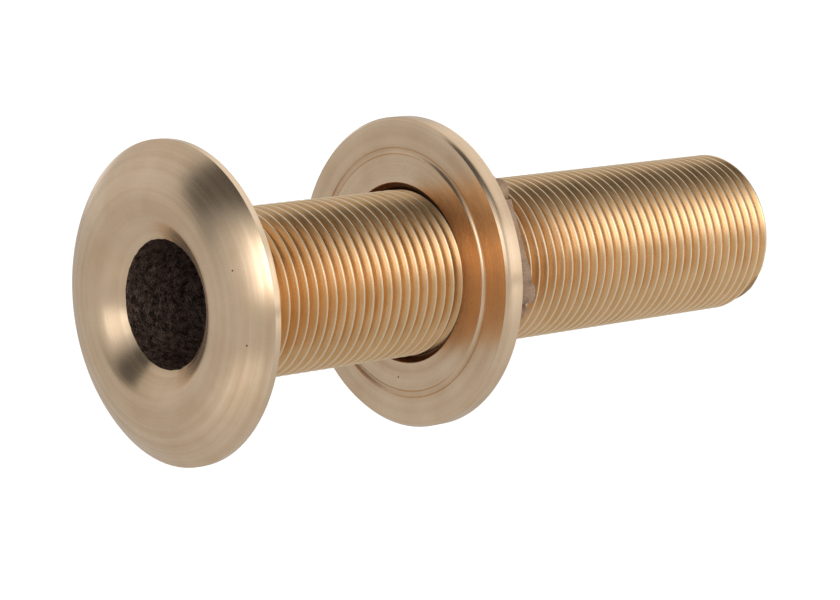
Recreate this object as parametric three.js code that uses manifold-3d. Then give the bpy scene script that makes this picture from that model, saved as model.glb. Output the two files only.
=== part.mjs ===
// Thru hull fitting: a cast bronze skin fitting for a boat, with a domed head, a threaded stem and a
// flanged nut that runs on the stem and clamps the hull between itself and the head.
//
// Millimetres, +Z up. The fitting's axis is +X, from the head to the tail. The origin is on the axis, in
// the plane of the head's flat seat, which bears on the outside of the hull.
//
// Angles round the axis are measured from +Y towards +Z, which is a right-hand turn about +X.

import * as THREE from 'three';
import { mergeVertices } from 'three/addons/utils/BufferGeometryUtils.js';
import Module from 'manifold-3d';

// ---------------------------------------------------------------- driving dimensions

// G 1 pipe thread, 11 turns to the inch, right-hand. The crest line passes crestX at crestAngle.
const THREAD = {
  pitch: 2.309,
  crestRadius: 16.62,
  rootRadius: 15.2,
  crestX: 13.8,
  crestAngle: Math.PI,
  facetsPerTurn: 24,
};

const STEM = {
  tailX: 146.0,
  tailChamfer: 1.1,
  neckLength: 4.6,
  runOutLength: 1.7,
  boreRadius: 12.2,
  boreMouthChamfer: 0.5,
};

const HEAD = {
  rimRadius: 31.0,
  rimEdge: 0.25,
  rimWidth: 1.45,
  rimBevel: 0.55,
  crownRadius: 19.5,
  crownHeight: 6.4,
  throatArcRadius: 8.85,
};

const NUT = {
  faceX: 56.1,
  flangeThickness: 4.2,
  flangeRadius: 31.0,
  faceRadius: 30.4,
  bevelWidth: 0.8,
  height: 15.2,
  acrossFlats: 41.0,
  cornerFillet: 2.5,
  cornerAngle: THREE.MathUtils.degToRad(7.8),
  grooveOuterRadius: 25.1,
  grooveDepth: 0.8,
  rearCountersinkRadius: 17.4,
};

// The ring of the nut's face inside its groove. It carries the nut's travel along the stem.
const FACE_RING = {
  outerRadius: 23.6,
  mouthRadius: 18.0,
  innerRadius: 17.05,
  thickness: 1.5,
};

const RUNNING_GAP = 0.3; // between two pieces that move on each other
const THREAD_GAP = 0.35; // radial, between the stem's thread and the nut's
const LATHE_FACETS = 48;
const BORE_FACETS = 32;
const ARC_STEPS = 7; // facets along an arc of the head's outline
const FILLET_STEPS = 3; // facets round a corner of the hexagon
const OVERRUN = 1.0; // how far a cutting tool passes the face that it cuts

// ---------------------------------------------------------------- solids

const wasm = await Module();
wasm.setup();

/** A manifold solid from a closed three.js geometry. */
function solidFrom(geometry) {
  const bare = geometry.index ? geometry.toNonIndexed() : geometry.clone();
  bare.deleteAttribute('normal');
  bare.deleteAttribute('uv');
  const merged = mergeVertices(bare, 1e-4);
  const corners = merged.index.array;
  const kept = [];
  for (let i = 0; i < corners.length; i += 3) {
    const [a, b, c] = [corners[i], corners[i + 1], corners[i + 2]];
    if (a !== b && b !== c && c !== a) kept.push(a, b, c);
  }
  return new wasm.Manifold(
    new wasm.Mesh({
      numProp: 3,
      vertProperties: new Float32Array(merged.attributes.position.array),
      triVerts: new Uint32Array(kept),
    }),
  );
}

/** A three.js geometry from a manifold solid. */
function geometryFrom(solid) {
  const mesh = solid.getMesh();
  const geometry = new THREE.BufferGeometry();
  geometry.setAttribute('position', new THREE.BufferAttribute(mesh.vertProperties, 3));
  geometry.setIndex(new THREE.BufferAttribute(mesh.triVerts, 1));
  geometry.computeVertexNormals();
  return geometry;
}

/** A solid turned about the X axis from an outline of [x, radius] points that starts and ends on it. */
function turned(outline, facets) {
  const points = outline.map(([x, radius]) => new THREE.Vector2(radius, x));
  const geometry = new THREE.LatheGeometry(points, facets);
  geometry.rotateZ(-Math.PI / 2);
  geometry.rotateX(Math.PI / 2);
  return solidFrom(geometry);
}

/** A plain round bar along the axis, for cutting a bore or a recess. */
function bar(fromX, toX, radius, facets) {
  return turned([[fromX, 0], [fromX, radius], [toX, radius], [toX, 0]], facets);
}

/** A cone frustum along the axis, for cutting a countersink or a chamfer. */
function cone(fromX, fromRadius, toX, toRadius, facets) {
  return turned([[fromX, 0], [fromX, fromRadius], [toX, toRadius], [toX, 0]], facets);
}

/** Points [x, radius] along a circular arc about (centreX, centreRadius), both ends included. */
function arc(centreX, centreRadius, size, fromAngle, toAngle) {
  return Array.from({ length: ARC_STEPS + 1 }, (_, i) => {
    const angle = fromAngle + ((toAngle - fromAngle) * i) / ARC_STEPS;
    return [centreX + size * Math.cos(angle), centreRadius + size * Math.sin(angle)];
  });
}

/** A bar with the fitting's right-hand V thread, at least from fromX to toX, its ends left ragged. */
function threadedBar(fromX, toX, crestRadius, rootRadius) {
  const { pitch, facetsPerTurn: facets } = THREAD;
  const crestAtZero = THREAD.crestX - (pitch * THREAD.crestAngle) / (2 * Math.PI);
  const startX = crestAtZero - pitch * Math.ceil((crestAtZero - fromX) / pitch + 1);
  const steps = facets * Math.ceil((toX - startX) / pitch + 1);
  const lastRoot = steps - facets;
  const positions = [];
  const place = (x, radius, step) => {
    const angle = (2 * Math.PI * (step % facets)) / facets;
    positions.push(x, radius * Math.cos(angle), radius * Math.sin(angle));
  };
  for (let i = 0; i <= steps; i += 1) place(startX + (pitch * i) / facets, crestRadius, i);
  for (let i = 0; i <= lastRoot; i += 1) place(startX + pitch * (i / facets + 0.5), rootRadius, i);
  const root = (i) => steps + 1 + i;
  const startCentre = positions.length / 3;
  positions.push(startX, 0, 0);
  const endCentre = startCentre + 1;
  positions.push(startX + (pitch * steps) / facets, 0, 0);

  const triangles = [];
  const quad = (a, b, c, d) => triangles.push(a, b, c, a, c, d);
  for (let i = 0; i < lastRoot; i += 1) {
    quad(i, i + 1, root(i + 1), root(i));
    quad(root(i), root(i + 1), i + facets + 1, i + facets);
  }
  const startLoop = [...Array.from({ length: facets + 1 }, (_, i) => i), root(0)];
  const endLoop = [...Array.from({ length: facets + 1 }, (_, i) => lastRoot + i), root(lastRoot)];
  startLoop.forEach((a, i) => {
    triangles.push(startCentre, startLoop[(i + 1) % startLoop.length], a);
  });
  endLoop.forEach((a, i) => {
    triangles.push(endCentre, a, endLoop[(i + 1) % endLoop.length]);
  });

  const geometry = new THREE.BufferGeometry();
  geometry.setAttribute('position', new THREE.Float32BufferAttribute(positions, 3));
  geometry.setIndex(triangles);
  return solidFrom(geometry);
}

// ---------------------------------------------------------------- head and stem, one casting

/** The stem: threaded from a plain neck behind the head to the chamfered tail. */
function makeStem() {
  const threadStart = STEM.neckLength + STEM.runOutLength;
  const clear = THREAD.crestRadius + OVERRUN;
  const envelope = turned(
    [
      [-OVERRUN, 0],
      [-OVERRUN, THREAD.rootRadius],
      [STEM.neckLength, THREAD.rootRadius],
      [threadStart, clear],
      [STEM.tailX - STEM.tailChamfer - OVERRUN, clear],
      [STEM.tailX, THREAD.crestRadius - STEM.tailChamfer],
      [STEM.tailX, 0],
    ],
    LATHE_FACETS,
  );
  const neck = bar(-OVERRUN, STEM.neckLength, THREAD.rootRadius - THREAD_GAP, LATHE_FACETS);
  const rod = threadedBar(-OVERRUN, STEM.tailX + OVERRUN, THREAD.crestRadius, THREAD.rootRadius);
  return rod.intersect(envelope).add(neck);
}

/** The head: a flat seat, a bevelled rim, and a dome that rolls over into the mouth of the bore. */
function makeHead() {
  const crownX = -HEAD.crownHeight;
  const mouthDrop = HEAD.crownRadius - STEM.boreRadius;
  const throat = arc(
    crownX + HEAD.throatArcRadius,
    HEAD.crownRadius,
    HEAD.throatArcRadius,
    Math.PI + Math.asin(mouthDrop / HEAD.throatArcRadius),
    Math.PI,
  );
  // the dome is the arc that is level at the crown and ends at the rim's bevel
  const domeRise = HEAD.crownHeight - HEAD.rimWidth - HEAD.rimBevel;
  const domeReach = HEAD.rimRadius - HEAD.rimBevel - HEAD.crownRadius;
  const domeRadius = (domeRise ** 2 + domeReach ** 2) / (2 * domeRise);
  const dome = arc(
    crownX + domeRadius,
    HEAD.crownRadius,
    domeRadius,
    Math.PI,
    Math.PI - Math.asin(domeReach / domeRadius),
  );
  const outline = [
    [throat[0][0], 0],
    ...throat,
    ...dome.slice(1),
    [-HEAD.rimWidth, HEAD.rimRadius],
    [-HEAD.rimEdge, HEAD.rimRadius],
    [0, HEAD.rimRadius - HEAD.rimEdge],
    [0, 0],
  ];
  return turned(outline, LATHE_FACETS);
}

/** The whole casting, bored through. */
function makeBody() {
  const bore = bar(-HEAD.crownHeight, STEM.tailX + OVERRUN, STEM.boreRadius, BORE_FACETS);
  const tailMouth = cone(
    STEM.tailX - STEM.boreMouthChamfer,
    STEM.boreRadius,
    STEM.tailX + OVERRUN,
    STEM.boreRadius + STEM.boreMouthChamfer + OVERRUN,
    BORE_FACETS,
  );
  return makeHead().add(makeStem()).subtract(bore).subtract(tailMouth);
}

// ---------------------------------------------------------------- nut

/** The nut's hexagon, along the axis, with the cast corners rounded. */
function hexagonBar(fromX, toX) {
  const { acrossFlats, cornerFillet, cornerAngle } = NUT;
  const sixth = Math.PI / 3;
  const filletCentre = (acrossFlats / 2 - cornerFillet) / Math.cos(sixth / 2);
  const shape = new THREE.Shape();
  for (let k = 0; k < 6; k += 1) {
    const angle = cornerAngle + k * sixth;
    shape.absarc(
      filletCentre * Math.cos(angle),
      filletCentre * Math.sin(angle),
      cornerFillet,
      angle - sixth / 2,
      angle + sixth / 2,
      false,
    );
  }
  const geometry = new THREE.ExtrudeGeometry(shape, {
    depth: toX - fromX,
    bevelEnabled: false,
    curveSegments: FILLET_STEPS,
  });
  // the extrusion's X, Y, Z become the part's Y, Z, X
  const axes = new THREE.Matrix4().makeBasis(
    new THREE.Vector3(0, 1, 0),
    new THREE.Vector3(0, 0, 1),
    new THREE.Vector3(1, 0, 0),
  );
  geometry.applyMatrix4(axes);
  geometry.translate(fromX, 0, 0);
  return solidFrom(geometry);
}

/** The flanged nut: a turned round flange with a face groove, and a cast hexagon behind it. */
function makeNut() {
  const faceX = NUT.faceX;
  const rearX = faceX + NUT.height;
  const flangeRearX = faceX + NUT.flangeThickness;
  const recessRadius = FACE_RING.outerRadius + RUNNING_GAP;
  const recessX = faceX + FACE_RING.thickness + RUNNING_GAP;
  const threadMajor = THREAD.crestRadius + THREAD_GAP;
  const threadMinor = THREAD.rootRadius + THREAD_GAP;

  const flange = turned(
    [
      [recessX, 0],
      [recessX, recessRadius],
      [faceX + NUT.grooveDepth, recessRadius],
      [faceX + NUT.grooveDepth, NUT.grooveOuterRadius - NUT.grooveDepth / 2],
      [faceX, NUT.grooveOuterRadius],
      [faceX, NUT.faceRadius],
      [faceX + NUT.bevelWidth, NUT.flangeRadius],
      [flangeRearX, NUT.flangeRadius],
      [flangeRearX, 0],
    ],
    LATHE_FACETS,
  );
  const hexagon = hexagonBar(flangeRearX - OVERRUN, rearX);
  const thread = threadedBar(faceX, rearX + OVERRUN, threadMajor, threadMinor);
  const frontSink = cone(
    recessX - OVERRUN,
    threadMajor + OVERRUN,
    recessX + threadMajor - threadMinor,
    threadMinor,
    LATHE_FACETS,
  );
  const rearSink = cone(
    rearX - (NUT.rearCountersinkRadius - threadMinor),
    threadMinor,
    rearX + OVERRUN,
    NUT.rearCountersinkRadius + OVERRUN,
    LATHE_FACETS,
  );
  return flange.add(hexagon).subtract(thread).subtract(frontSink).subtract(rearSink);
}

/** The ring of the nut's face inside the groove, with the coned mouth of the nut's hole. */
function makeFaceRing() {
  const { outerRadius, mouthRadius, innerRadius, thickness } = FACE_RING;
  const rearX = NUT.faceX + thickness;
  return turned(
    [
      [NUT.faceX, mouthRadius],
      [NUT.faceX, outerRadius],
      [rearX, outerRadius],
      [rearX, innerRadius],
      [NUT.faceX, mouthRadius],
    ],
    LATHE_FACETS,
  );
}

// ---------------------------------------------------------------- assembly

const castBronze = { color: 0xbd9c7c, roughness: 0.38, metalness: 1.0 };
const turnedBronze = { color: 0xc9a27c, roughness: 0.3, metalness: 1.0 };

/** A named mesh of a solid in its own material. */
function piece(name, solid, finish) {
  const mesh = new THREE.Mesh(geometryFrom(solid), new THREE.MeshStandardMaterial(finish));
  mesh.name = name;
  return mesh;
}

const fitting = new THREE.Group();
fitting.add(piece('thru_hull_body', makeBody(), castBronze));
fitting.add(piece('nut_face_ring', makeFaceRing(), turnedBronze));
fitting.add(piece('flanged_nut', makeNut(), turnedBronze));

export default fitting;
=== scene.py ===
"""A cast bronze thru hull fitting in a plain studio: the looks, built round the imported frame.

The fitting lies along +X with its head at the left. It is two castings. The body has a turned, domed
head, a stem with a cut pipe thread and a raw bore. The nut has a turned round flange and a raw hexagon,
and screws along the stem. Lengths in the classes are millimetres, and meshes are metres.
"""

import logging
import math
from collections.abc import Callable, Iterable, Sequence
from dataclasses import dataclass, field
from enum import Enum

import bmesh
import bpy
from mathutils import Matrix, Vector, noise


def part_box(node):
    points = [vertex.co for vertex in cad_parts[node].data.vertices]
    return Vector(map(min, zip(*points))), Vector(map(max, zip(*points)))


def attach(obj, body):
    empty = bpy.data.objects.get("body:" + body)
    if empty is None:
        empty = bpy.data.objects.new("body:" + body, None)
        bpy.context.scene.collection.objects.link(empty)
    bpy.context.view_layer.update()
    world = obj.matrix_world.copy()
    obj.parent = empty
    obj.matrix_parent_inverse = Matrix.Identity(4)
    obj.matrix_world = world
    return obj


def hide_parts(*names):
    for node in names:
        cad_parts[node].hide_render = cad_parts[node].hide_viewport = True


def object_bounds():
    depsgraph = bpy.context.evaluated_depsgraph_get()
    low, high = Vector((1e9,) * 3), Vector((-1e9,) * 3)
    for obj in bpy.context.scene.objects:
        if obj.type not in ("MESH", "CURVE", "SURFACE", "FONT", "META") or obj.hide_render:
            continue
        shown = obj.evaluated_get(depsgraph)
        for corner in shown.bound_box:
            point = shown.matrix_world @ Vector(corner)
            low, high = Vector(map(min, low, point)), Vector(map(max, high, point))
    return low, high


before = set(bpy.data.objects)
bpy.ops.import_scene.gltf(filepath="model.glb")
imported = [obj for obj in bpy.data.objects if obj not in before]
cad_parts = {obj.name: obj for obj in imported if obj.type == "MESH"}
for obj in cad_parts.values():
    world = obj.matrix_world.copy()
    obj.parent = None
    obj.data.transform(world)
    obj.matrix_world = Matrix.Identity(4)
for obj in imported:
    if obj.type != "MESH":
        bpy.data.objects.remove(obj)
CAD_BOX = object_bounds()

MM = 0.001
WELD = 0.002 * MM  # points closer than this are one point
AXIS_X = "X"
log = logging.getLogger("thru_hull_fitting")

Socket = bpy.types.NodeSocket
Value = float | int | bool | Sequence[float] | Socket
Pair = tuple[float, float]  # a range, or a point as x and radius
Triple = tuple[float, float, float]

FULL = (0.0, 1.0)  # the range of a mask, from nothing to all
WHITE = "FFFFFF"


# ------------------------------------------------------------------ nodes and colours


def linear(code: str) -> tuple[float, float, float, float]:
    """Turns an sRGB colour into the linear one that a shader takes.

    Args:
        code: the colour as six hex digits, such as "E8C9A7".

    Returns:
        Linear red, green and blue, and an alpha of 1.
    """
    parts = [int(code[i : i + 2], 16) / 255 for i in (0, 2, 4)]
    toe, slope, offset, power = 0.04045, 12.92, 0.055, 2.4
    red, green, blue = (
        c / slope if c <= toe else ((c + offset) / (1 + offset)) ** power for c in parts
    )
    return red, green, blue, 1.0


def add(
    tree: bpy.types.NodeTree,
    kind: str,
    inputs: dict[str | int, Value] | None = None,
    **settings: object,
) -> bpy.types.Node:
    """Adds one node with its settings, values and links.

    Args:
        tree: the tree that takes the node.
        kind: the node's type name.
        inputs: what goes into its sockets, by name or number: a value, or another node's output.
        settings: the node's own properties.

    Returns:
        The node.
    """
    node = tree.nodes.new(kind)
    for name, value in settings.items():
        setattr(node, name, value)
    for key, value in (inputs or {}).items():
        if isinstance(value, Socket):
            tree.links.new(value, node.inputs[key])
        else:
            node.inputs[key].default_value = value
    return node


# ------------------------------------------------------------------ finishes


@dataclass(frozen=True)
class Finish:
    """What every bronze finish on the fitting has.

    Attributes:
        name: the material's name.
        light: the lighter of its two tones.
        dark: the darker one.
        metallic: how much of it is bare metal, up to 1.
        roughness: its least and its greatest roughness.
        relief_mm: how deep its pattern is.
    """

    name: str
    light: str
    dark: str
    metallic: float
    roughness: Pair
    relief_mm: float

    def start(self) -> tuple[bpy.types.Material, bpy.types.NodeTree, bpy.types.Node]:
        """Makes the material with its shader.

        Returns:
            The material, its node tree and its shader node.
        """
        material = bpy.data.materials.new(self.name)
        material.use_nodes = True
        tree = material.node_tree
        tree.nodes.clear()
        shader = add(tree, "ShaderNodeBsdfPrincipled", {"Metallic": self.metallic})
        add(tree, "ShaderNodeOutputMaterial", {"Surface": shader.outputs["BSDF"]})
        return material, tree, shader

    @staticmethod
    def place_mm(tree: bpy.types.NodeTree) -> Socket:
        """Reads where a point lies on the piece.

        Args:
            tree: the material's tree.

        Returns:
            The point, in millimetres.
        """
        where = add(tree, "ShaderNodeTexCoord")
        scaled = {0: where.outputs["Object"], "Scale": 1 / MM}
        return add(tree, "ShaderNodeVectorMath", scaled, operation="SCALE").outputs["Vector"]

    @staticmethod
    def lathe_mm(tree: bpy.types.NodeTree, place: Socket, drift: float) -> Socket:
        """The point as a lathe sees it, so that a pattern on it runs round the axis.

        Args:
            tree: the material's tree.
            place: the point in millimetres.
            drift: how much the pattern changes across each millimetre of the work's own width.

        Returns:
            A vector of the distance along the axis, the distance from it, and the drift.
        """
        parts = add(tree, "ShaderNodeSeparateXYZ", {0: place})
        flat = add(tree, "ShaderNodeCombineXYZ", {"Y": parts.outputs["Y"], "Z": parts.outputs["Z"]})
        radius = add(tree, "ShaderNodeVectorMath", {0: flat.outputs[0]}, operation="LENGTH")
        slow = add(tree, "ShaderNodeMath", {0: parts.outputs["Z"], 1: drift}, operation="MULTIPLY")
        turned = {"X": parts.outputs["X"], "Y": radius.outputs["Value"], "Z": slow.outputs[0]}
        return add(tree, "ShaderNodeCombineXYZ", turned).outputs[0]

    @staticmethod
    def grain(tree: bpy.types.NodeTree, vector: Socket, size_mm: float, detail: float = 2.0) -> Socket:
        """A cloudy pattern with features of one size.

        Args:
            tree: the material's tree.
            vector: the point in millimetres.
            size_mm: the size of a feature.
            detail: how many finer layers it has.

        Returns:
            The pattern, about 0 to 1.
        """
        cloud = {"Vector": vector, "Scale": 1 / size_mm, "Detail": detail}
        return add(tree, "ShaderNodeTexNoise", cloud).outputs[0]

    @staticmethod
    def between(tree: bpy.types.NodeTree, amount: Socket, source: Pair, target: Pair) -> Socket:
        """Maps a pattern from one range of values to another, and stops at its ends.

        Args:
            tree: the material's tree.
            amount: the pattern.
            source: its values at the two ends.
            target: what they become.

        Returns:
            The mapped pattern.
        """
        (low, high), (to_low, to_high) = source, target
        sockets = {"Value": amount, "From Min": low, "From Max": high, "To Min": to_low, "To Max": to_high}
        return add(tree, "ShaderNodeMapRange", sockets).outputs["Result"]

    @staticmethod
    def blend(tree: bpy.types.NodeTree, amount: Socket, first: Value, second: Value) -> Socket:
        """Mixes two colours.

        Args:
            tree: the material's tree.
            amount: 0 for the first colour, 1 for the second.
            first: the first colour.
            second: the second colour.

        Returns:
            The mixed colour.
        """
        node = add(tree, "ShaderNodeMix", data_type="RGBA")
        for name, value in (("Factor", amount), ("A", first), ("B", second)):
            sockets = [s for s in node.inputs if s.name == name and s.enabled]
            if isinstance(value, Socket):
                tree.links.new(value, sockets[0])
            else:
                sockets[0].default_value = value
        return next(s for s in node.outputs if s.enabled)


@dataclass(frozen=True)
class TurnedBronze(Finish):
    """Gunmetal bronze turned on a lathe: fine rings round the axis, which draw highlights out into rays."""

    name: str = "turned_gunmetal_bronze"
    light: str = "F6DBBB"
    dark: str = "E0C09C"
    metallic: float = 1.0
    roughness: Pair = (0.2, 0.34)
    relief_mm: float = 0.012
    ring_mm: float = 0.45  # a real cut is about 0.1 mm wide, too fine to show
    zone_mm: float = 1.6  # the tool's passes differ a little, so that the work has wider rings too
    stain_mm: float = 9.0
    pit_mm: float = 6.0
    pit_share: float = 0.035  # a pit's radius, of the distance between pits
    pit_floor: float = 0.6  # of that radius, where the pit is at its full depth
    pit_depth_mm: float = 0.15
    pit_tone: str = "7A5C40"
    anisotropy: float = 0.55
    grain_turn: float = 0.25  # of a turn, from along the rings to across them
    tone_span: Pair = (0.7, 1.35)
    zone_span: Pair = (0.25, 0.75)

    def build(self) -> bpy.types.Material:
        """Makes the material.

        Returns:
            The material, with its whole node tree.
        """
        material, tree, shader = self.start()
        place = self.place_mm(tree)
        lathe = self.lathe_mm(tree, place, drift=0.02)
        rings = self.grain(tree, lathe, self.ring_mm, detail=3.0)
        zones = self.grain(tree, lathe, self.zone_mm, detail=5.0)
        stains = self.grain(tree, place, self.stain_mm, detail=4.0)
        tone = add(tree, "ShaderNodeMath", {0: zones, 1: stains}, operation="ADD").outputs[0]
        shade = self.between(tree, tone, self.tone_span, FULL)
        colour = self.blend(tree, shade, linear(self.light), linear(self.dark))
        cells = {"Vector": place, "Scale": 1 / self.pit_mm, "Randomness": 1.0}
        pits = add(tree, "ShaderNodeTexVoronoi", cells, feature="F1")
        edge = (self.pit_share * self.pit_floor, self.pit_share)
        pit = self.between(tree, pits.outputs["Distance"], edge, FULL[::-1])
        colour = self.blend(tree, pit, colour, linear(self.pit_tone))
        tree.links.new(colour, shader.inputs["Base Color"])
        rough = self.between(tree, zones, self.zone_span, self.roughness)
        tree.links.new(rough, shader.inputs["Roughness"])
        shader.inputs["Anisotropic"].default_value = self.anisotropy
        shader.inputs["Anisotropic Rotation"].default_value = self.grain_turn
        tangent = add(tree, "ShaderNodeTangent", direction_type="RADIAL", axis=AXIS_X)
        tree.links.new(tangent.outputs[0], shader.inputs["Tangent"])
        relief = {"Height": rings, "Distance": self.relief_mm * MM, "Strength": 1.0}
        cut = add(tree, "ShaderNodeBump", relief)
        sunk = {"Height": pit, "Distance": self.pit_depth_mm * MM, "Strength": 1.0, "Normal": cut.outputs[0]}
        pitted = add(tree, "ShaderNodeBump", sunk, invert=True)
        tree.links.new(pitted.outputs[0], shader.inputs["Normal"])
        return material


@dataclass(frozen=True)
class CutThreadBronze(Finish):
    """Bronze cut by a threading die: clean and golden along the flanks, with a paler colour painted on the
    crests as a painted highlight.
    """

    name: str = "cut_thread_bronze"
    light: str = "F0C490"
    dark: str = "E1B27B"
    metallic: float = 1.0
    roughness: Pair = (0.25, 0.34)
    relief_mm: float = 0.004
    # painted highlight: a paler colour painted on the crests, standing in for the bright lines that light
    # draws along them
    crest_highlight: str = "F9E1BF"
    crest_highlight_mm: Pair = (16.3, 16.56)  # the radius where the painted crest highlight starts, and where it is full
    tear_mm: float = 0.25
    stain_mm: float = 7.0
    stain_span: Pair = (0.35, 0.7)
    tear_span: Pair = (0.3, 0.7)

    def build(self) -> bpy.types.Material:
        """Makes the material.

        Returns:
            The material, with its whole node tree.
        """
        material, tree, shader = self.start()
        place = self.place_mm(tree)
        lathe = self.lathe_mm(tree, place, drift=0.08)
        tears = self.grain(tree, lathe, self.tear_mm, detail=2.0)
        stains = self.grain(tree, place, self.stain_mm, detail=5.0)
        shade = self.between(tree, stains, self.stain_span, FULL)
        colour = self.blend(tree, shade, linear(self.light), linear(self.dark))
        radius = add(tree, "ShaderNodeSeparateXYZ", {0: lathe}).outputs["Y"]
        # painted highlight: past this radius the crests take the paler colour
        crest = self.between(tree, radius, self.crest_highlight_mm, FULL)
        colour = self.blend(tree, crest, colour, linear(self.crest_highlight))
        tree.links.new(colour, shader.inputs["Base Color"])
        rough = self.between(tree, tears, self.tear_span, self.roughness)
        tree.links.new(rough, shader.inputs["Roughness"])
        relief = {"Height": tears, "Distance": self.relief_mm * MM, "Strength": 1.0}
        tree.links.new(add(tree, "ShaderNodeBump", relief).outputs[0], shader.inputs["Normal"])
        return material


@dataclass(frozen=True)
class SandCastBronze(Finish):
    """Bronze as it leaves a sand mould: grey-brown, matt and grainy."""

    name: str = "sand_cast_bronze"
    light: str = "CDAE92"
    dark: str = "A2866D"
    metallic: float = 0.6
    roughness: Pair = (0.5, 0.75)
    relief_mm: float = 0.12
    grit_mm: float = 0.45
    stain_mm: float = 4.0
    tone_span: Pair = (0.8, 1.2)
    grit_span: Pair = (0.3, 0.7)

    def build(self) -> bpy.types.Material:
        """Makes the material.

        Returns:
            The material, with its whole node tree.
        """
        material, tree, shader = self.start()
        place = self.place_mm(tree)
        grit = self.grain(tree, place, self.grit_mm, detail=3.0)
        stains = self.grain(tree, place, self.stain_mm, detail=3.0)
        mixed = add(tree, "ShaderNodeMath", {0: grit, 1: stains}, operation="ADD").outputs[0]
        shade = self.between(tree, mixed, self.tone_span, FULL)
        colour = self.blend(tree, shade, linear(self.dark), linear(self.light))
        tree.links.new(colour, shader.inputs["Base Color"])
        rough = self.between(tree, grit, self.grit_span, self.roughness)
        tree.links.new(rough, shader.inputs["Roughness"])
        relief = {"Height": grit, "Distance": self.relief_mm * MM, "Strength": 1.0}
        tree.links.new(add(tree, "ShaderNodeBump", relief).outputs[0], shader.inputs["Normal"])
        return material


@dataclass(frozen=True)
class CoreCastBronze(SandCastBronze):
    """The bore as the sand core left it: burnt nearly black, rough, with a few bright grains."""

    name: str = "core_cast_bronze"
    light: str = "8A7266"
    dark: str = "2E211C"
    metallic: float = 0.5
    roughness: Pair = (0.28, 0.5)
    relief_mm: float = 0.4
    grit_mm: float = 0.36
    stain_mm: float = 1.2


class Coat(Enum):
    """The finishes, in the order of the material slots on each piece."""

    TURNED = TurnedBronze()
    THREAD = CutThreadBronze()
    # painted shade: the nut's thread gets darker tones for the shade inside the nut's hole, and no painted
    # highlight on its crests
    NUT_THREAD = CutThreadBronze(
        "nut_thread_painted_shade_bronze",
        light="B48B66",
        dark="785438",
        crest_highlight="785438",
        roughness=(0.35, 0.5),
    )
    SAND = SandCastBronze()
    CORE = CoreCastBronze()

    @property
    def slot(self) -> int:
        """The number of this finish's material slot."""
        return list(Coat).index(self)


class Palette:
    """Makes each finish's material once and hands it out."""

    def __init__(self) -> None:
        """Builds the materials."""
        self.materials = [coat.value.build() for coat in Coat]

    def dress(self, mesh: bpy.types.Mesh) -> None:
        """Gives a new mesh a slot for each finish."""
        for material in self.materials:
            mesh.materials.append(material)


# ------------------------------------------------------------------ rings


Outline = Callable[[float], float]


@dataclass(frozen=True)
class Ring:
    """A closed row of points round the axis.

    Attributes:
        x: how far along the axis it lies.
        radius: how far from the axis.
        coat: the finish of the band that follows it.
        outline: what the radius is multiplied by at each angle, for a row that isn't round.
        rough: how far cast roughness may move its points.
    """

    x: float
    radius: float
    coat: Coat = Coat.TURNED
    outline: Outline | None = None
    rough: float = 0.0


@dataclass(frozen=True)
class Roughness:
    """Lumps on a raw casting, as a displacement along the radius."""

    lump_mm: float = 1.2
    seed: float = 17.0
    falloff: float = 0.9  # how quickly the finer lumps get lower
    finer: float = 2.1  # from one layer of lumps to the next
    layers: int = 3

    def at(self, point: Vector) -> float:
        """The height of the lumps at a point, from about -1 to 1."""
        shifted = point / self.lump_mm + Vector((self.seed, 0.0, 0.0))
        return noise.fractal(shifted, self.falloff, self.finer, self.layers)


def add_rings(shape: bmesh.types.BMesh, rings: Iterable[Ring], facets: int) -> None:
    """Adds the bands between rings to a shape.

    Args:
        shape: the mesh being built, in metres.
        rings: the rings in order along the surface.
        facets: the number of points in each ring.
    """
    lumps = Roughness()
    before: list[bmesh.types.BMVert] = []
    coat = Coat.TURNED
    for ring in rings:
        row = []
        for i in range(facets):
            angle = 2 * math.pi * i / facets
            radius = ring.radius * (ring.outline(angle) if ring.outline else 1.0)
            point = Vector((ring.x, radius * math.cos(angle), radius * math.sin(angle)))
            if ring.rough:
                point.yz *= 1 + ring.rough * lumps.at(point) / radius
            row.append(shape.verts.new(point * MM))
        for i, vert in enumerate(before):
            j = (i + 1) % facets
            face = shape.faces.new((vert, row[i], row[j], before[j]))
            face.material_index = coat.slot
        before, coat = row, ring.coat


def arc(centre: Pair, halves: Pair, angles: Pair, steps: int) -> list[Pair]:
    """Points along an elliptical arc in the plane of the axis.

    Args:
        centre: the arc's centre, as x and radius.
        halves: the ellipse's half sizes along x and along the radius.
        angles: the first and the last angle, in radians from +X.
        steps: how many steps it is cut into.

    Returns:
        The points, both ends included, as x and radius.
    """
    first, last = angles
    turns = (first + (last - first) * i / steps for i in range(steps + 1))
    return [(centre[0] + halves[0] * math.cos(a), centre[1] + halves[1] * math.sin(a)) for a in turns]


def line(start: Pair, end: Pair, steps: int) -> list[Pair]:
    """Points along a straight line, without its first one."""
    shares = (i / steps for i in range(1, steps + 1))
    return [(start[0] + (end[0] - start[0]) * s, start[1] + (end[1] - start[1]) * s) for s in shares]


# ------------------------------------------------------------------ thread


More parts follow.
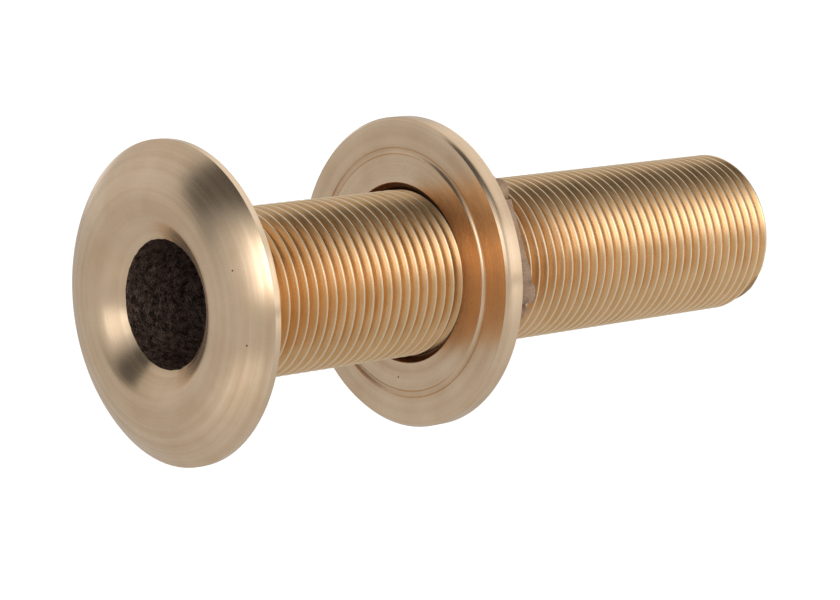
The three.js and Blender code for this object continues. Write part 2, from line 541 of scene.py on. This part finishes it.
@dataclass
class PipeThread:
    """A right-hand pipe thread in the G 1 size, wound by Geometry Nodes.

    Its crests and roots are rounded less than the standard's.

    Attributes:
        start: where it begins, as x and the radius of its edge there.
        end: where it ends, the same way.
        start_slope: how steeply the run-out at the start rises to the thread, 1 for 45 degrees.
        end_slope: the same for the end.
        male: True on a stem, False in a nut.
        clearance: how much further out the thread lies than the stem's.
        facets: the number of points round the axis.
        pitch: the distance from one crest to the next.
        crest_radius: the radius of the stem's crests.
        crest_x: where a crest crosses the -Y side.
        coat: the thread's finish.
        crest_steps: how many steps lead from the crest's middle to its flank.
        root_steps: how many steps lead from the flank to the root's middle.
    """

    start: Pair
    end: Pair
    start_slope: float = 1.0
    end_slope: float = 1.0
    male: bool = True
    clearance: float = 0.0
    facets: int = 96
    pitch: float = 2.309
    crest_radius: float = 16.62
    crest_x: float = 13.8
    coat: Coat = Coat.THREAD
    crest_steps: int = 2
    root_steps: int = 3

    # shares of the pitch, for flanks at 55 degrees to each other
    CREST_ROUND = 0.09  # radius of the crest, which the die leaves sharper than the standard's
    ROOT_ROUND = 0.1  # radius of the root
    SHARP_HALF = 0.4803  # from the middle line to where the flanks would meet
    CUT_OFF = 1.1657  # how far a round stops short of that, for each unit of its radius
    REACH = 0.887  # how far a round reaches along the axis, for each unit of its radius
    FLANK = 1.921  # the flank's rise for each unit along the axis
    TO_ROOT = 0.5  # from a crest to a root, along the axis
    TO_MIDDLE = 0.25  # from either to the middle of the flank

    def tree(self) -> bpy.types.NodeTree:
        """Builds the node tree that winds the thread.

        Returns:
            The tree, with a named input for each size.
        """
        tree = bpy.data.node_groups.new("pipe_thread", "GeometryNodeTree")
        face = tree.interface
        face.new_socket("Geometry", in_out="OUTPUT", socket_type="NodeSocketGeometry")
        face.new_socket("Geometry", in_out="INPUT", socket_type="NodeSocketGeometry")
        for name in ("Pitch", "Middle Radius", "First Root X", "Start X", "Start Radius", "End X"):
            face.new_socket(name, in_out="INPUT", socket_type="NodeSocketFloat")
        for name in ("End Radius", "Start Slope", "End Slope", "Side"):
            face.new_socket(name, in_out="INPUT", socket_type="NodeSocketFloat")
        for name in ("Facets", "Strips", "Steps"):
            face.new_socket(name, in_out="INPUT", socket_type="NodeSocketInt")
        face.new_socket("Material", in_out="INPUT", socket_type="NodeSocketMaterial")
        size = add(tree, "NodeGroupInput").outputs

        def maths(operation: str, *values: Value) -> Socket:
            """One step of arithmetic in the tree."""
            return add(tree, "ShaderNodeMath", dict(enumerate(values)), operation=operation).outputs[0]

        rows = maths("ADD", size["Strips"], 1)
        points = {"Vertices X": maths("ADD", size["Steps"], 1), "Vertices Y": rows}
        grid = add(tree, "GeometryNodeMeshGrid", points)
        index = add(tree, "GeometryNodeInputIndex").outputs[0]
        # half a step keeps the division of whole numbers clear of rounding
        step = maths("FLOOR", maths("DIVIDE", maths("ADD", index, 0.5), rows))
        across = maths("SUBTRACT", index, maths("MULTIPLY", step, rows))
        # from root to crest to root, with the points kept for the rounds and none along a flank
        even = maths("SUBTRACT", across, maths("DIVIDE", size["Strips"], 2.0))
        way = maths("ABSOLUTE", even)
        crest_edge = self.CREST_ROUND * self.REACH
        root_edge = self.TO_ROOT - self.ROOT_ROUND * self.REACH
        on_crest = maths("MULTIPLY", maths("MINIMUM", way, self.crest_steps), crest_edge / self.crest_steps)
        past_crest = maths("MAXIMUM", maths("SUBTRACT", way, self.crest_steps), 0.0)
        on_flank = maths("MULTIPLY", maths("MINIMUM", past_crest, 1.0), root_edge - crest_edge)
        past_flank = maths("MAXIMUM", maths("SUBTRACT", past_crest, 1.0), 0.0)
        on_root = maths("MULTIPLY", past_flank, (self.TO_ROOT - root_edge) / self.root_steps)
        far_out = maths("ADD", maths("ADD", on_crest, on_flank), on_root)
        phase = maths("MULTIPLY", maths("SIGN", even), far_out)
        turns = maths("DIVIDE", step, size["Facets"])
        crest = maths("MULTIPLY_ADD", size["Pitch"], maths("ADD", turns, self.TO_ROOT), size["First Root X"])
        free_x = maths("MULTIPLY_ADD", size["Pitch"], phase, crest)
        x = maths("MINIMUM", maths("MAXIMUM", free_x, size["Start X"]), size["End X"])
        # the profile's height over the middle line, at the place where the point ended up
        from_crest = maths("DIVIDE", maths("SUBTRACT", x, crest), size["Pitch"])
        wrapped = maths("ABSOLUTE", maths("WRAP", from_crest, self.TO_ROOT, -self.TO_ROOT))
        near = maths("MINIMUM", wrapped, maths("SUBTRACT", self.TO_ROOT, wrapped))
        at_crest = maths("LESS_THAN", wrapped, self.TO_MIDDLE)
        bend = maths("MULTIPLY_ADD", at_crest, self.CREST_ROUND - self.ROOT_ROUND, self.ROOT_ROUND)
        hidden = maths("SUBTRACT", maths("MULTIPLY", bend, bend), maths("MULTIPLY", near, near))
        peak = maths("SUBTRACT", self.SHARP_HALF, maths("MULTIPLY", bend, self.CUT_OFF + 1.0))
        rounded = maths("ADD", maths("SQRT", maths("MAXIMUM", hidden, 0.0)), peak)
        straight = maths("MULTIPLY", maths("SUBTRACT", self.TO_MIDDLE, near), self.FLANK)
        on_round = maths("LESS_THAN", near, maths("MULTIPLY", bend, self.REACH))
        height = maths("MULTIPLY_ADD", maths("SUBTRACT", rounded, straight), on_round, straight)
        up = maths("SIGN", maths("SUBTRACT", self.TO_MIDDLE, wrapped))
        cut = maths("MULTIPLY_ADD", maths("MULTIPLY", height, up), size["Pitch"], size["Middle Radius"])
        # the ends run out on cones, outwards from a stem's ends and inwards from a nut's
        side = size["Side"]
        start_rise = maths("MULTIPLY", maths("SUBTRACT", x, size["Start X"]), size["Start Slope"])
        start_cone = maths("MULTIPLY_ADD", start_rise, side, size["Start Radius"])
        end_rise = maths("MULTIPLY", maths("SUBTRACT", size["End X"], x), size["End Slope"])
        end_cone = maths("MULTIPLY_ADD", end_rise, side, size["End Radius"])
        lowest = maths("MINIMUM", maths("MULTIPLY", start_cone, side), maths("MULTIPLY", end_cone, side))
        radius = maths("MULTIPLY", maths("MINIMUM", maths("MULTIPLY", cut, side), lowest), side)
        facet = maths("FLOORED_MODULO", step, size["Facets"])
        angle = maths("DIVIDE", maths("MULTIPLY", facet, math.tau), size["Facets"])
        y = maths("MULTIPLY", radius, maths("COSINE", angle))
        z = maths("MULTIPLY", radius, maths("SINE", angle))
        place = add(tree, "ShaderNodeCombineXYZ", {"X": x, "Y": y, "Z": z}).outputs[0]
        wound = add(tree, "GeometryNodeSetPosition", {"Geometry": grid.outputs["Mesh"], "Position": place})
        welded = add(tree, "GeometryNodeMergeByDistance", {"Geometry": wound.outputs[0], "Distance": WELD})
        real = add(tree, "GeometryNodeRealizeInstances", {"Geometry": welded.outputs[0]})
        coated = {"Geometry": real.outputs[0], "Material": size["Material"]}
        done = add(tree, "GeometryNodeSetMaterial", coated)
        add(tree, "NodeGroupOutput", {"Geometry": done.outputs[0]})
        return tree

    def mesh(self, material: bpy.types.Material) -> bpy.types.Mesh:
        """Winds the thread and makes it a plain mesh.

        Args:
            material: the thread's finish.

        Returns:
            The thread's surface, open at both ends.
        """
        tree = self.tree()
        holder = bpy.data.objects.new("thread_holder", bpy.data.meshes.new("thread_holder"))
        bpy.context.scene.collection.objects.link(holder)
        modifier = holder.modifiers.new("thread", "NODES")
        modifier.node_group = tree
        crest_at_zero = self.crest_x - self.pitch / 2  # on the +Y side, half a turn before the -Y side
        before = math.ceil((crest_at_zero - self.start[0]) / self.pitch) + 1
        first_root = crest_at_zero - (before + 0.5) * self.pitch
        turns = math.ceil((self.end[0] - first_root) / self.pitch) + 1
        crest_height = (self.SHARP_HALF - self.CREST_ROUND * self.CUT_OFF) * self.pitch
        values = {
            "Pitch": self.pitch * MM,
            "Middle Radius": (self.crest_radius - crest_height + self.clearance) * MM,
            "First Root X": first_root * MM,
            "Start X": self.start[0] * MM,
            "Start Radius": self.start[1] * MM,
            "End X": self.end[0] * MM,
            "End Radius": self.end[1] * MM,
            "Start Slope": self.start_slope,
            "End Slope": self.end_slope,
            "Side": 1.0 if self.male else -1.0,
            "Facets": self.facets,
            "Strips": 2 * (self.crest_steps + 1 + self.root_steps),
            "Steps": turns * self.facets,
            "Material": material,
        }
        for item in tree.interface.items_tree:
            if item.item_type == "SOCKET" and item.in_out == "INPUT" and item.name in values:
                modifier[item.identifier] = values[item.name]
        graph = bpy.context.evaluated_depsgraph_get()
        mesh = bpy.data.meshes.new_from_object(holder.evaluated_get(graph), depsgraph=graph)
        holder.modifiers.remove(modifier)
        bpy.data.objects.remove(holder)
        return mesh

    def weld_into(self, shape: bmesh.types.BMesh, material: bpy.types.Material) -> None:
        """Joins the thread to the rest of a piece.

        Args:
            shape: the piece, whose rings meet the thread's two edges.
            material: the thread's finish.
        """
        already = len(shape.faces)
        shape.from_mesh(self.mesh(material))
        shape.faces.ensure_lookup_table()
        for face in shape.faces[already:]:
            face.material_index = self.coat.slot
        bmesh.ops.remove_doubles(shape, verts=shape.verts, dist=WELD)
        bmesh.ops.dissolve_degenerate(shape, dist=WELD / 4, edges=shape.edges)


# ------------------------------------------------------------------ pieces


@dataclass
class Casting:
    """A piece of the fitting that is one casting, with a thread cut in it.

    Attributes:
        name: the piece's name.
        body: the CAD body that it rides on.
        nodes: the CAD nodes that it stands for.
        slot: the record's material slot; not used.
        facets: the number of points round the axis.
    """

    name: str
    body: str
    nodes: tuple[str, ...]
    slot: str
    facets: int

    SHARP = math.radians(38)  # an edge that bends more than this is left sharp

    def rings(self) -> list[Ring]:
        """The rings of the surface, from one edge of the thread round to the other."""
        raise NotImplementedError

    def thread(self) -> PipeThread:
        """The thread that closes the surface."""
        raise NotImplementedError

    def build(self, palette: Palette) -> bpy.types.Object:
        """Makes the piece's mesh and gives it its finishes.

        Args:
            palette: the materials.

        Returns:
            The finished object, riding on its body.
        """
        shape = bmesh.new()
        add_rings(shape, self.rings(), self.facets)
        thread = self.thread()
        thread.weld_into(shape, palette.materials[thread.coat.slot])
        bmesh.ops.recalc_face_normals(shape, faces=shape.faces)
        if shape.calc_volume(signed=True) < 0:
            bmesh.ops.reverse_faces(shape, faces=shape.faces)
        for face in shape.faces:
            face.smooth = True
        for edge in shape.edges:
            coats = {face.material_index for face in edge.link_faces}
            level = coats == {thread.coat.slot} or edge.calc_face_angle(0.0) < self.SHARP
            edge.smooth = level and len(coats) == 1
        open_edges = sum(not e.is_manifold for e in shape.edges)
        mesh = bpy.data.meshes.new(self.name)
        shape.to_mesh(mesh)
        shape.free()
        palette.dress(mesh)
        piece = bpy.data.objects.new(self.name, mesh)
        bpy.context.scene.collection.objects.link(piece)
        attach(piece, self.body)
        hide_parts(*self.nodes)
        log.info("%s: %d faces, %d open edges", self.name, len(mesh.polygons), open_edges)
        return piece


@dataclass
class FittingBody(Casting):
    """The head and the stem: one casting, turned on the head, threaded outside and raw in the bore."""

    name: str = "bronze_body"
    body: str = "fitting_body"
    nodes: tuple[str, ...] = ("thru_hull_body",)
    slot: str = "cast_bronze_body"
    facets: int = 96

    rim_radius: float = 31.0
    rim_width: float = 1.45
    rim_edge: float = 0.25
    rim_bevel: float = 0.55
    crown_radius: float = 19.5
    crown_height: float = 6.4
    throat_round: float = 6.0
    throat_slope: float = math.radians(35)  # of the cone that leads from the crown to the bore
    bore_radius: float = 12.4
    mouth_rag: float = 0.12  # how ragged the edge of the raw bore is
    bore_rough: float = 0.3
    neck_radius: float = 14.8
    neck_fillet: float = 0.6
    neck_end: float = 4.6
    tail_x: float = 146.0
    tail_edge: float = 0.08
    tail_slope: float = 4.0
    tail_mouth: float = 0.5
    arc_steps: int = 22
    edge_steps: int = 4
    seat_steps: int = 8
    rim_steps: int = 3
    tail_steps: int = 4
    near_depth: float = 26.0  # how far in the bore can be seen
    near_steps: int = 44
    far_steps: int = 30

    def thread(self) -> PipeThread:
        """The stem's thread.

        Returns:
            The thread, from the neck to the tail's chamfer.
        """
        start = (self.neck_end, self.neck_radius)
        end = (self.tail_x - self.tail_edge, self.neck_radius)
        return PipeThread(start, end, end_slope=self.tail_slope, facets=self.facets)

    def head(self) -> list[Pair]:
        """The head's outline.

        Returns:
            Points from the neck out over the seat and the crown, and in to the bore.
        """
        fillet = arc(
            (self.neck_fillet, self.neck_radius + self.neck_fillet),
            (self.neck_fillet, self.neck_fillet),
            (1.5 * math.pi, math.pi),
            self.edge_steps,
        )
        corner = (-self.rim_edge, self.rim_radius - self.rim_edge)
        edge = arc(corner, (self.rim_edge,) * 2, (0, math.pi / 2), self.edge_steps)
        # the dome is the arc that is level at the crown and ends at the rim's bevel
        rise = self.crown_height - self.rim_width - self.rim_bevel
        reach = self.rim_radius - self.rim_bevel - self.crown_radius
        dome = (rise**2 + reach**2) / (2 * rise)
        crown = arc(
            (dome - self.crown_height, self.crown_radius),
            (dome, dome),
            (math.pi - math.asin(reach / dome), math.pi),
            self.arc_steps,
        )
        throat = arc(
            (self.throat_round - self.crown_height, self.crown_radius),
            (self.throat_round,) * 2,
            (math.pi, math.pi + self.throat_slope),
            self.arc_steps // 2,
        )
        cone_x, cone_radius = throat[-1]
        mouth_x = cone_x + (cone_radius - self.bore_radius) * math.tan(self.throat_slope)
        throat += line(throat[-1], (mouth_x, self.bore_radius), self.edge_steps)
        seat = line(fillet[-1], edge[0], self.seat_steps)
        rim = line(edge[-1], (-self.rim_width, self.rim_radius), self.rim_steps)
        return fillet + seat[:-1] + edge + rim + crown + throat[1:]

    def rings(self) -> list[Ring]:
        """The rings of the body's surface.

        Returns:
            The rings from the neck over the head, through the bore and out round the tail.
        """
        rings = [Ring(self.neck_end, self.neck_radius)]
        rings += [Ring(x, r) for x, r in self.head()]
        mouth = rings.pop()
        rings.append(Ring(mouth.x, mouth.radius, Coat.CORE, rough=self.mouth_rag))
        deep = mouth.x + self.near_depth
        tail = self.tail_x - self.tail_mouth
        near = line((mouth.x, self.bore_radius), (deep, self.bore_radius), self.near_steps)
        far = line((deep, self.bore_radius), (tail, self.bore_radius), self.far_steps)
        rings += [Ring(x, r, Coat.CORE, rough=self.bore_rough) for x, r in near + far[:-1]]
        rings.append(Ring(tail, self.bore_radius))
        rings.append(Ring(self.tail_x, self.bore_radius + self.tail_mouth))
        face_edge = self.neck_radius - self.tail_edge
        tail_face = line((self.tail_x, rings[-1].radius), (self.tail_x, face_edge), self.tail_steps)
        rings += [Ring(x, r) for x, r in tail_face]
        rings.append(Ring(self.tail_x - self.tail_edge, self.neck_radius))
        return rings


@dataclass
class Hexagon:
    """A regular hexagon with round corners, as a radius at each angle.

    Attributes:
        across_flats: the distance between opposite flats.
        fillet: the radius of its corners.
        corner_angle: where a corner lies, from the +Y side.
    """

    across_flats: float = 41.0
    fillet: float = 2.6
    corner_angle: float = math.radians(7.8)

    @property
    def inner(self) -> float:
        """The radius of the circle that touches the flats."""
        return self.across_flats / 2

    def share(self, angle: float) -> float:
        """How far out the outline lies.

        Args:
            angle: the angle from the +Y side.

        Returns:
            The outline's radius there, over the radius to the flats.
        """
        sixth = math.pi / 3
        off_corner = abs((angle - self.corner_angle + sixth / 2) % sixth - sixth / 2)
        flat = self.inner / math.cos(sixth / 2 - off_corner)
        centre = (self.inner - self.fillet) / math.cos(sixth / 2)
        across = centre * math.sin(off_corner)
        if across >= self.fillet:
            return flat / self.inner
        rounded = centre * math.cos(off_corner) + math.sqrt(self.fillet**2 - across**2)
        return min(flat, rounded) / self.inner


@dataclass
class FlangedNut(Casting):
    """The nut: a turned flange with a groove in its face, and a hexagon left as it was cast."""

    name: str = "bronze_nut"
    body: str = "nut"
    nodes: tuple[str, ...] = ("flanged_nut", "nut_face_ring")
    slot: str = "turned_bronze_nut"
    facets: int = 192

    hexagon: Hexagon = field(default_factory=Hexagon)
    flange_thickness: float = 4.2
    flange_radius: float = 31.0
    face_radius: float = 30.4
    bevel: float = 0.8
    rear_edge: float = 0.3
    groove: Pair = (23.6, 25.1)  # its inner and outer radius
    groove_depth: float = 0.5
    mouth_radius: float = 18.0
    rear_mouth_radius: float = 17.3
    mouth_edge: float = 0.12
    cast_rough: float = 0.05
    cast_edge: float = 0.5
    clearance: float = 0.1
    foot_gap: float = 1.5  # from the hexagon's foot to the nearest ring on the flange's back
    rear_edge_width: float = 0.48
    groove_steps: int = 10
    face_steps: int = 6
    bevel_steps: int = 2
    rim_steps: int = 5
    back_steps: int = 3
    flat_steps: int = 12
    corner_steps: int = 4

    def __post_init__(self) -> None:
        """Takes the nut's place along the stem from the frame."""
        low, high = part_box("flanged_nut")
        self.face_x = low.x / MM
        self.rear_x = high.x / MM

    def thread(self) -> PipeThread:
        """The nut's thread.

        Returns:
            The thread, from the front mouth to the rear one.
        """
        start = (self.face_x + self.mouth_edge, self.mouth_radius)
        end = (self.rear_x - self.mouth_edge, self.rear_mouth_radius)
        return PipeThread(
            start,
            end,
            male=False,
            clearance=self.clearance,
            facets=self.facets,
            coat=Coat.NUT_THREAD,
        )

    def flange(self) -> list[Pair]:
        """The flange's outline.

        Returns:
            Points from the mouth of the hole over the face and the rim to the flange's back.
        """
        x, back = self.face_x, self.face_x + self.flange_thickness
        inner, outer = self.groove
        half = (outer - inner) / 2
        tool = (half**2 + self.groove_depth**2) / (2 * self.groove_depth)
        reach = math.asin(half / tool)
        middle = (x + self.groove_depth - tool, inner + half)
        groove = arc(middle, (tool, tool), (-reach, reach), self.groove_steps)
        points = [(x + self.mouth_edge, self.mouth_radius), (x, self.mouth_radius + self.mouth_edge)]
        points += line(points[-1], groove[0], self.face_steps)[:-1] + groove
        points += line(groove[-1], (x, self.face_radius), self.face_steps)
        points += line(points[-1], (x + self.bevel, self.flange_radius), self.bevel_steps)
        points += line(points[-1], (back - self.rear_edge, self.flange_radius), self.rim_steps)
        points += line(points[-1], (back, self.flange_radius - self.rear_edge), self.bevel_steps)
        return points

    def rings(self) -> list[Ring]:
        """The rings of the nut's surface.

        Returns:
            The rings from the front mouth over the flange and the hexagon to the rear mouth.
        """
        back = self.face_x + self.flange_thickness
        rings = [Ring(x, r) for x, r in self.flange()]
        rim = rings.pop()
        rings.append(Ring(rim.x, rim.radius, Coat.SAND))
        foot = self.hexagon.inner + self.cast_edge

        def cast(x: float, radius: float, rough: float = self.cast_rough) -> Ring:
            """A ring of the raw hexagon."""
            return Ring(x, radius, Coat.SAND, self.hexagon.share, rough)

        innermost = foot * self.hexagon.share(0.0) + self.foot_gap
        for _, radius in line((back, rim.radius), (back, innermost), self.back_steps):
            rings.append(Ring(back, radius, Coat.SAND, rough=self.cast_rough / 2))
        rings.append(cast(back, foot))
        rings.append(cast(back + self.cast_edge, self.hexagon.inner))
        top = self.rear_x - self.cast_edge
        flats = line((back + self.cast_edge, 0.0), (top, 0.0), self.flat_steps)
        rings += [cast(x, self.hexagon.inner) for x, _ in flats]
        corner = arc(
            (top, self.hexagon.inner - self.cast_edge),
            (self.cast_edge,) * 2,
            (math.pi / 2, 0.0),
            self.corner_steps,
        )
        rings += [cast(x, r, self.cast_rough / 2) for x, r in corner[1:]]
        inner = self.rear_mouth_radius + self.rear_edge_width
        rings.append(Ring(self.rear_x, inner, Coat.SAND))
        rings.append(Ring(self.rear_x, self.rear_mouth_radius + self.mouth_edge))
        rings.append(Ring(self.rear_x - self.mouth_edge, self.rear_mouth_radius))
        return rings


# ------------------------------------------------------------------ studio


@dataclass(frozen=True)
class Patch:
    """A soft round patch of the studio's walls, lighter or darker than the rest.

    Attributes:
        towards: the direction from the fitting to the patch.
        radiance: how bright it is.
        half_angle: how wide it is, in degrees from its middle.
        soft: how wide its blurred edge is, in degrees.
    """

    towards: Triple
    radiance: float
    half_angle: float
    soft: float


@dataclass(frozen=True)
class Pool:
    """A soft pool of light on the floor, as the metal mirrors it.

    Attributes:
        at: where its middle lies, in metres.
        radius: how far out it fades to nothing, in metres.
        radiance: how bright its middle is.
    """

    at: Pair
    radius: float
    radiance: float


@dataclass(frozen=True)
class Softbox:
    """A square light in a diffuser box.

    Attributes:
        name: the light's name.
        towards: the direction from the fitting to the light.
        distance: how far off it stands, in metres.
        size: its width and height, in metres.
        power: in watts.
    """

    name: str
    towards: Triple
    distance: float
    size: Pair
    power: float


@dataclass
class Studio:
    """A plain studio: pale floor, soft walls with an unlit gap high on the left, and the camera.

    Attributes:
        azimuth: the camera's turn round the fitting.
        elevation: the camera's height over it, as an angle.
        distance: from the camera to the aim.
        aim: the point that the camera looks at.
        lens: the camera's lens, in millimetres.
        floor_size: the floor's width.
        floor_gap: how far the floor lies below the head's rim.
        paper_tone: the paper's colour.
        paper_roughness: how dull it is.
        paper_glow_tone: the colour of the light that it gives off.
        paper_glow: how strong that light is.
        floor: how bright the floor is in the metal.
        pools: the pools of light on it.
        wall: how bright the walls are.
        gap: how bright the unlit gap is.
        gap_right: the gap lies against this direction, which gives it an upright edge.
        gap_right_soft: how blurred that edge is, as the sine of an angle.
        gap_below: the gap lies along this direction, which gives it a slanting lower edge.
        gap_below_soft: how blurred that edge is.
        patches: the brighter places on the walls.
        softboxes: the lights.
    """

    azimuth: float = math.radians(-41.80)
    elevation: float = math.radians(9.22)
    distance: float = 0.6514
    aim: Triple = (0.06114, 0.0, -0.00603)
    lens: float = 139.44
    floor_size: float = 6.0
    floor_gap: float = 0.0003
    paper_tone: str = "F6F5F3"
    paper_roughness: float = 0.9
    paper_glow_tone: str = "FBFAF8"
    paper_glow: float = 0.66
    floor: float = 0.5
    pools: tuple[Pool, ...] = (
        Pool((-0.046, -0.026), 0.045, 0.85),
        Pool((0.2, -0.2), 0.26, 1.0),
    )
    wall: float = 0.57
    gap: float = 0.075
    gap_right: Triple = (0.636, 0.772, 0.0)
    gap_right_soft: float = 0.04
    gap_below: Triple = (0.423, 0.644, 0.638)
    gap_below_soft: float = 0.16
    patches: tuple[Patch, ...] = (
        Patch((-0.867, -0.404, 0.292), 1.25, 9.0, 13.0),
        Patch((-0.657, -0.680, 0.326), 1.3, 9.0, 13.0),
        Patch((0.62, -0.78, 0.0), 1.15, 22.0, 22.0),
        Patch((0.68, 0.0, 0.73), 0.85, 25.0, 25.0),
        Patch((0.42, 0.90, -0.09), 1.0, 10.0, 12.0),
    )
    softboxes: tuple[Softbox, ...] = (
        Softbox("key_softbox", (-0.77, -0.55, 0.32), 0.9, (0.42, 0.36), 0.5),
    )

    def build(self) -> None:
        """Sets up the floor, the walls, the lights and the camera."""
        self.make_floor("paper_floor", seen=True)
        self.make_floor("mirrored_floor", seen=False)
        self.make_walls()
        for box in self.softboxes:
            self.make_softbox(box)
        self.make_camera()
        bpy.context.scene.view_settings.view_transform = "Standard"

    def make_floor(self, name: str, seen: bool) -> None:
        """Makes a floor under the head's rim.

        The paper floor is what the camera sees. The metal mirrors a duller one in its place, which has
        two pools of light on it and keeps the bronze from washing out.

        Args:
            name: the floor's name.
            seen: True for the floor that the camera sees.
        """
        half = self.floor_size / 2
        height = CAD_BOX[0].z - self.floor_gap
        corners = [(x * half, y * half, height) for x, y in ((-1, -1), (1, -1), (1, 1), (-1, 1))]
        mesh = bpy.data.meshes.new(name)
        mesh.from_pydata(corners, [], [(0, 1, 2, 3)])
        mesh.materials.append(self.paper(name) if seen else self.mirrored_floor(name))
        floor = bpy.data.objects.new(name, mesh)
        bpy.context.scene.collection.objects.link(floor)
        floor.visible_camera = seen
        floor.visible_glossy = not seen
        floor.visible_diffuse = not seen
        floor.visible_shadow = not seen

    def paper(self, name: str) -> bpy.types.Material:
        """Makes pale paper, which gives off a little light so that it stays even.

        Args:
            name: the material's name.

        Returns:
            The material.
        """
        material = bpy.data.materials.new(name)
        material.use_nodes = True
        shader = material.node_tree.nodes["Principled BSDF"]
        shader.inputs["Base Color"].default_value = linear(self.paper_tone)
        shader.inputs["Roughness"].default_value = self.paper_roughness
        shader.inputs["Emission Color"].default_value = linear(self.paper_glow_tone)
        shader.inputs["Emission Strength"].default_value = self.paper_glow
        return material

    def mirrored_floor(self, name: str) -> bpy.types.Material:
        """Makes the floor as the metal sees it: an even grey with soft pools of light.

        Args:
            name: the material's name.

        Returns:
            The material.
        """
        material = bpy.data.materials.new(name)
        material.use_nodes = True
        tree = material.node_tree
        tree.nodes.clear()
        place = add(tree, "ShaderNodeTexCoord").outputs["Object"]
        glow: Value = self.floor
        for pool in self.pools:
            away = {0: place, 1: (*pool.at, CAD_BOX[0].z - self.floor_gap)}
            far = add(tree, "ShaderNodeVectorMath", away, operation="DISTANCE").outputs["Value"]
            extra = pool.radiance - self.floor
            fade = {"Value": far, "From Max": pool.radius, "To Min": extra, "To Max": 0.0}
            over = add(tree, "ShaderNodeMapRange", fade, interpolation_type="SMOOTHSTEP").outputs["Result"]
            glow = add(tree, "ShaderNodeMath", {0: over, 1: glow}, operation="ADD").outputs[0]
        light = add(tree, "ShaderNodeEmission", {"Strength": glow})
        add(tree, "ShaderNodeOutputMaterial", {"Surface": light.outputs[0]})
        return material

    def make_walls(self) -> None:
        """Makes the light from all round: soft walls, the unlit gap and the patches."""
        world = bpy.data.worlds.new("studio_walls")
        world.use_nodes = True
        bpy.context.scene.world = world
        tree = world.node_tree
        tree.nodes.clear()
        direction = add(tree, "ShaderNodeTexCoord").outputs["Generated"]
        gaps = []
        sides = (
            (self.gap_right, self.gap_right_soft, -1.0),
            (self.gap_below, self.gap_below_soft, 1.0),
        )
        for towards, width, sign in sides:
            side = add(tree, "ShaderNodeVectorMath", {0: direction, 1: towards}, operation="DOT_PRODUCT")
            edge = {"Value": side.outputs["Value"], "From Min": -width * sign, "From Max": width * sign}
            mask = add(tree, "ShaderNodeMapRange", edge, interpolation_type="SMOOTHSTEP")
            gaps.append(mask.outputs["Result"])
        inside = add(tree, "ShaderNodeMath", {0: gaps[0], 1: gaps[1]}, operation="MULTIPLY").outputs[0]
        fade = {"Value": inside, "To Min": self.wall, "To Max": self.gap}
        light = add(tree, "ShaderNodeMapRange", fade).outputs["Result"]
        for patch in self.patches:
            middle = Vector(patch.towards).normalized()
            near = add(tree, "ShaderNodeVectorMath", {0: direction, 1: middle}, operation="DOT_PRODUCT")
            edge = math.cos(math.radians(patch.half_angle + patch.soft))
            core = math.cos(math.radians(patch.half_angle))
            fade = {"Value": near.outputs["Value"], "From Min": edge, "From Max": core}
            mask = add(tree, "ShaderNodeMapRange", fade, interpolation_type="SMOOTHSTEP")
            away = add(tree, "ShaderNodeMath", {0: patch.radiance, 1: light}, operation="SUBTRACT")
            mixed = {0: away.outputs[0], 1: mask.outputs["Result"], 2: light}
            light = add(tree, "ShaderNodeMath", mixed, operation="MULTIPLY_ADD").outputs[0]
        background = add(tree, "ShaderNodeBackground", {"Color": linear(WHITE), "Strength": light})
        add(tree, "ShaderNodeOutputWorld", {"Surface": background.outputs[0]})

    def make_softbox(self, box: Softbox) -> None:
        """Hangs one softbox, turned to face the fitting.

        Args:
            box: its place, size and power.
        """
        data = bpy.data.lights.new(box.name, "AREA")
        data.shape = "RECTANGLE"
        data.size, data.size_y = box.size
        data.energy = box.power
        light = bpy.data.objects.new(box.name, data)
        bpy.context.scene.collection.objects.link(light)
        towards = Vector(box.towards).normalized()
        light.location = Vector(self.aim) + towards * box.distance
        light.rotation_euler = towards.to_track_quat("Z", "Y").to_euler()
        light.visible_camera = False

    def make_camera(self) -> None:
        """Stands the camera where the fitting is seen from its head's side, a little from above."""
        data = bpy.data.cameras.new("camera")
        data.lens = self.lens
        camera = bpy.data.objects.new("camera", data)
        bpy.context.scene.collection.objects.link(camera)
        level = math.cos(self.elevation)
        back = Vector(
            (
                math.sin(self.azimuth) * level,
                -math.cos(self.azimuth) * level,
                math.sin(self.elevation),
            )
        )
        camera.location = Vector(self.aim) + back * self.distance
        camera.rotation_euler = back.to_track_quat("Z", "Y").to_euler()
        bpy.context.scene.camera = camera


def main() -> None:
    """Builds the fitting and its studio."""
    logging.basicConfig(level=logging.INFO, format="%(name)s %(message)s")
    Studio().build()
    palette = Palette()
    for casting in (FittingBody(), FlangedNut()):
        casting.build(palette)


if __name__ == "__main__":
    main()
